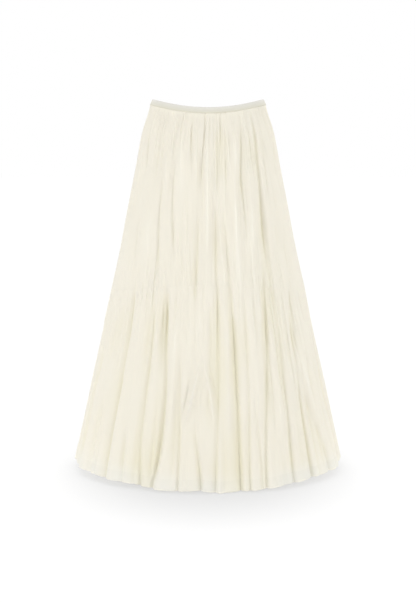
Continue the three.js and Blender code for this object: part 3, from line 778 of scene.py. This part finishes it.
class Look:
    """A material and its shader. Each kind of node that is used more than once has a method, which
    adds such a node and returns its output."""

    def __init__(self, name):
        self.material = bpy.data.materials.new(name)
        self.material.use_nodes = True
        self.nodes = self.material.node_tree.nodes
        self.links = self.material.node_tree.links
        self.shader = self.nodes["Principled BSDF"]

    def set_shader(self, settings):
        for socket, value in settings.items():
            self.shader.inputs[socket].default_value = value

    def link_shader(self, outputs):
        for socket, output in outputs.items():
            self.links.new(output, self.shader.inputs[socket])

    def cut(self):
        node = self.nodes.new("ShaderNodeUVMap")
        node.uv_map = "cut"
        return node.outputs["UV"]

    def attribute(self, name):
        node = self.nodes.new("ShaderNodeAttribute")
        node.attribute_name = name
        return node.outputs["Fac"]

    def scaled(self, vector, scale):
        node = self.nodes.new("ShaderNodeMapping")
        node.inputs["Scale"].default_value = scale
        self.links.new(vector, node.inputs["Vector"])
        return node.outputs["Vector"]

    def noise(self, vector, scale, detail):
        node = self.nodes.new("ShaderNodeTexNoise")
        node.inputs["Scale"].default_value = 1.0
        node.inputs["Detail"].default_value = detail
        self.links.new(self.scaled(vector, scale), node.inputs["Vector"])
        return node.outputs["Fac"]

    def bump(self, height, strength, distance, under=None):
        node = self.nodes.new("ShaderNodeBump")
        node.inputs["Strength"].default_value = strength
        node.inputs["Distance"].default_value = distance
        self.links.new(height, node.inputs["Height"])
        if under:
            self.links.new(under, node.inputs["Normal"])
        return node.outputs["Normal"]

    def calculated(self, operation, *values):
        node = self.nodes.new("ShaderNodeMath")
        node.operation = operation
        for socket, value in enumerate(values):
            self.links.new(value, node.inputs[socket])
        return node.outputs["Value"]

    def ramp(self, value, start, end, first=0.0, last=1.0, kind="LINEAR"):
        node = self.nodes.new("ShaderNodeMapRange")
        node.interpolation_type = kind
        node.inputs["From Min"].default_value = start
        node.inputs["From Max"].default_value = end
        node.inputs["To Min"].default_value = first
        node.inputs["To Max"].default_value = last
        self.links.new(value, node.inputs["Value"])
        return node.outputs["Result"]

    def mixed(self, factor, first, second):
        """Each of the two colours is given as numbers or as another node's output."""
        node = self.nodes.new("ShaderNodeMix")
        node.data_type = "RGBA"
        self.links.new(factor, node.inputs["Factor"])
        for socket, colour in (("A", first), ("B", second)):
            if isinstance(colour, tuple):
                node.inputs[socket].default_value = (*colour, 1)
            else:
                self.links.new(colour, node.inputs[socket])
        return node.outputs["Result"]


def cloth_material(name, alpha):
    """Crinkled chiffon: a fine weave and patches of crinkles in the bump, yellower painted shade in
    the creases, a painted highlight on the ridges, greyer painted shade above the hem, and light
    coming through."""
    look = Look(name)
    cut = look.cut()
    patches = look.noise(cut, CRINKLE_PATCHES, detail=1.0)
    patches = look.ramp(patches, start=0.38, end=0.62, first=0.25, last=1.35)
    crinkles = look.calculated("MULTIPLY", look.noise(cut, CRINKLES, detail=2.0), patches)
    normal = look.bump(crinkles, strength=0.22, distance=0.0003)
    weave = look.noise(cut, WEAVE, detail=0.0)
    normal = look.bump(weave, strength=0.3, distance=0.0002, under=normal)
    # Painted shade in the creases, painted highlight on the ridges.
    fold_shading = look.attribute("fold_shading")
    colour = look.mixed(look.noise(cut, MOTTLE, detail=2.0), *CLOTH_FLAT)
    colour = look.mixed(look.ramp(fold_shading, start=0.66, end=1.0), colour, CLOTH_CREASE_SHADE)
    colour = look.mixed(look.ramp(fold_shading, start=0.5, end=0.0), colour, CLOTH_RIDGE_HIGHLIGHT)
    # Painted shade above the hem, where the shaded inside shows through the unlined cloth.
    colour = look.mixed(look.attribute("hem"), colour, CLOTH_HEM_SHADE)
    look.link_shader({"Base Color": colour, "Normal": normal})
    look.set_shader({"Roughness": 0.85, "Specular IOR Level": 0.25, "Alpha": alpha})
    look.set_shader({"Sheen Weight": 0.5, "Sheen Roughness": 0.5})
    through = look.nodes.new("ShaderNodeBsdfTranslucent")
    through.inputs["Color"].default_value = (*CLOTH_THROUGH, 1)
    look.links.new(normal, through.inputs["Normal"])
    mix = look.nodes.new("ShaderNodeMixShader")
    mix.inputs["Fac"].default_value = THROUGH_SHARE * alpha
    look.links.new(look.shader.outputs["BSDF"], mix.inputs[1])
    look.links.new(through.outputs["BSDF"], mix.inputs[2])
    look.links.new(mix.outputs["Shader"], look.nodes["Material Output"].inputs["Surface"])
    return look.material


def lining_material():
    """Plain smooth lining: a close weave in the bump and a slight mottle in the colour."""
    look = Look("plain_lining")
    cut = look.cut()
    normal = look.bump(look.noise(cut, WEAVE, detail=0.0), strength=0.25, distance=0.0002)
    colour = look.mixed(look.noise(cut, MOTTLE, detail=2.0), *LINING_COLOURS)
    look.link_shader({"Base Color": colour, "Normal": normal})
    look.set_shader({"Roughness": 0.6, "Sheen Weight": 0.15})
    return look.material


def elastic_material():
    """Woven elastic: a fine weave in the bump, and painted shade that makes it warmer and darker
    towards its lower edge.
    """
    look = Look("woven_elastic")
    cut = look.cut()
    normal = look.bump(look.noise(cut, ELASTIC_WEAVE, detail=1.0), strength=0.5, distance=0.0002)
    place = look.nodes.new("ShaderNodeSeparateXYZ")
    look.links.new(cut, place.inputs["Vector"])
    # Painted shade: warmer and darker towards the lower edge.
    down = look.ramp(place.outputs["Y"], start=0.0, end=-BAND_HEIGHT * MM)
    colour = look.mixed(down, ELASTIC_TOP, ELASTIC_BOTTOM_SHADED)
    look.link_shader({"Base Color": colour, "Normal": normal})
    look.set_shader({"Roughness": 0.7, "Specular IOR Level": 0.3, "Sheen Weight": 0.2})
    return look.material


# ---------------------------------------------------------------- the skirt
cloth = cloth_material("crinkled_chiffon", 1.0)
sheer = cloth_material("sheer_hem_chiffon", SHEER_ALPHA)
lining, elastic = lining_material(), elastic_material()

band = waistband("waistband_elastic", CUT["band"])
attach(band, "root")
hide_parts("waistband")
for side in SIDES:
    upper = cloth_panel(f"upper_{side}_cloth", side, "band", "tier", UPPER_ROWS, CUT["upper"])
    lower = cloth_panel(f"lower_{side}_cloth", side, "tier", "hem", LOWER_ROWS, CUT["lower"])
    inside = lining_panel(f"lining_{side}_cloth", side, CUT["lining"])
    for piece, tier in ((upper, "upper"), (lower, "lower"), (inside, "lining")):
        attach(piece, "root")
        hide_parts(f"{tier}_{side}")


# ---------------------------------------------------------------- floor, light and camera
# Places and sizes in metres, power in watts. The ellipses on the floor, which shape its painted
# shadow, are half widths and half depths round the middle of the skirt.
FLOOR = -0.886  # just below the hem
FLOOR_CORNERS = ((-30, -30, FLOOR), (30, -30, FLOOR), (30, 60, FLOOR), (-30, 60, FLOOR))
FLOOR_GREY = (0.2, 0.2, 0.2, 1)
SHADOW_ELLIPSE = (0.42, 0.64)
HEM_ELLIPSE = (0.33, 0.28)
WHITE = (1, 1, 1, 1)
WORLD_LIGHT = 0.78
SOFTBOX_COLUMNS = ("name", "place", "size", "power")
SOFTBOXES = (
    ("front_left", (-3.0, -2.3, -0.4), 2.2, 74),
    ("front_right", (2.9, -2.2, -0.4), 3.0, 76),
)
SOFTBOX_AIM = (0, 0, -0.5)
SUN_POWER = 1.6
SUN_WIDTH = 70  # degrees of sky that it fills
SUN_TILT = -36  # degrees about X, so that it shines from above and behind
CAMERA_LENS = 74.5  # millimetres
CAMERA_PLACE = (0, -3.0, -0.15)
CAMERA_AIM = (0, 0, -0.4832)


def floor_material():
    """A floor that glows white from within, with a painted shadow: the glow is weaker in a wide soft
    pool round the hem, and weaker still under the skirt.
    """
    look = Look("floor_glow_painted_shadow")
    place = look.nodes.new("ShaderNodeTexCoord").outputs["Object"]

    def glow(ellipse, start, end, first, last):
        """Changes smoothly from first to last between two sizes of an ellipse."""
        length = look.nodes.new("ShaderNodeVectorMath")
        length.operation = "LENGTH"
        scaled = look.scaled(place, (1 / ellipse[0], 1 / ellipse[1], 0))
        look.links.new(scaled, length.inputs["Vector"])
        return look.ramp(length.outputs["Value"], start, end, first, last, "SMOOTHSTEP")

    # Painted shadow: the glow is weaker in a soft pool round the skirt, and weaker still under it,
    # inside the hem.
    shadow_pool_glow = glow(SHADOW_ELLIPSE, start=0.35, end=1.05, first=0.60, last=0.78)
    under_skirt_shade = glow(HEM_ELLIPSE, start=0.78, end=0.88, first=-0.25, last=0.0)
    under = glow(HEM_ELLIPSE, start=0.97, end=1.05, first=1.0, last=0.0)
    strength = look.calculated("MULTIPLY_ADD", under_skirt_shade, under, shadow_pool_glow)
    look.link_shader({"Emission Strength": strength})
    look.set_shader({"Emission Color": WHITE, "Base Color": FLOOR_GREY})
    look.set_shader({"Roughness": 1.0, "Specular IOR Level": 0.0})
    return look.material


def light_world():
    """Even light from all round, which the camera sees as plain white."""
    world = bpy.data.worlds.new("studio")
    bpy.context.scene.world = world
    world.use_nodes = True
    nodes, links = world.node_tree.nodes, world.node_tree.links
    lit = nodes["Background"]
    lit.inputs["Color"].default_value = WHITE
    lit.inputs["Strength"].default_value = WORLD_LIGHT
    seen = nodes.new("ShaderNodeBackground")
    seen.inputs["Color"].default_value = WHITE
    path = nodes.new("ShaderNodeLightPath")
    either = nodes.new("ShaderNodeMixShader")
    links.new(path.outputs["Is Camera Ray"], either.inputs["Fac"])
    links.new(lit.outputs["Background"], either.inputs[1])
    links.new(seen.outputs["Background"], either.inputs[2])
    links.new(either.outputs["Shader"], nodes["World Output"].inputs["Surface"])


def put(name, data, place=(0, 0, 0), aim=None):
    """Adds an object at a place, turned towards its aim if it has one."""
    thing = bpy.data.objects.new(name, data)
    thing.location = place
    if aim:
        thing.rotation_euler = (Vector(aim) - Vector(place)).to_track_quat("-Z", "Y").to_euler()
    bpy.context.scene.collection.objects.link(thing)
    return thing


floor_mesh = bpy.data.meshes.new("floor")
floor_mesh.from_pydata(FLOOR_CORNERS, [], [(0, 1, 2, 3)])
floor_mesh.materials.append(floor_material())
floor = put("floor", floor_mesh)

light_world()
for values in SOFTBOXES:
    box = dict(zip(SOFTBOX_COLUMNS, values))
    light = bpy.data.lights.new(box["name"], "AREA")
    light.size = box["size"]
    light.energy = box["power"]
    put(box["name"], light, box["place"], SOFTBOX_AIM)

sun_data = bpy.data.lights.new("overhead", "SUN")
sun_data.energy = SUN_POWER
sun_data.angle = math.radians(SUN_WIDTH)
sun = put("overhead", sun_data)
sun.rotation_euler = (math.radians(SUN_TILT), 0, 0)

camera_data = bpy.data.cameras.new("camera")
camera_data.lens = CAMERA_LENS
bpy.context.scene.camera = put("camera", camera_data, CAMERA_PLACE, CAMERA_AIM)
bpy.context.scene.view_settings.view_transform = "Standard"
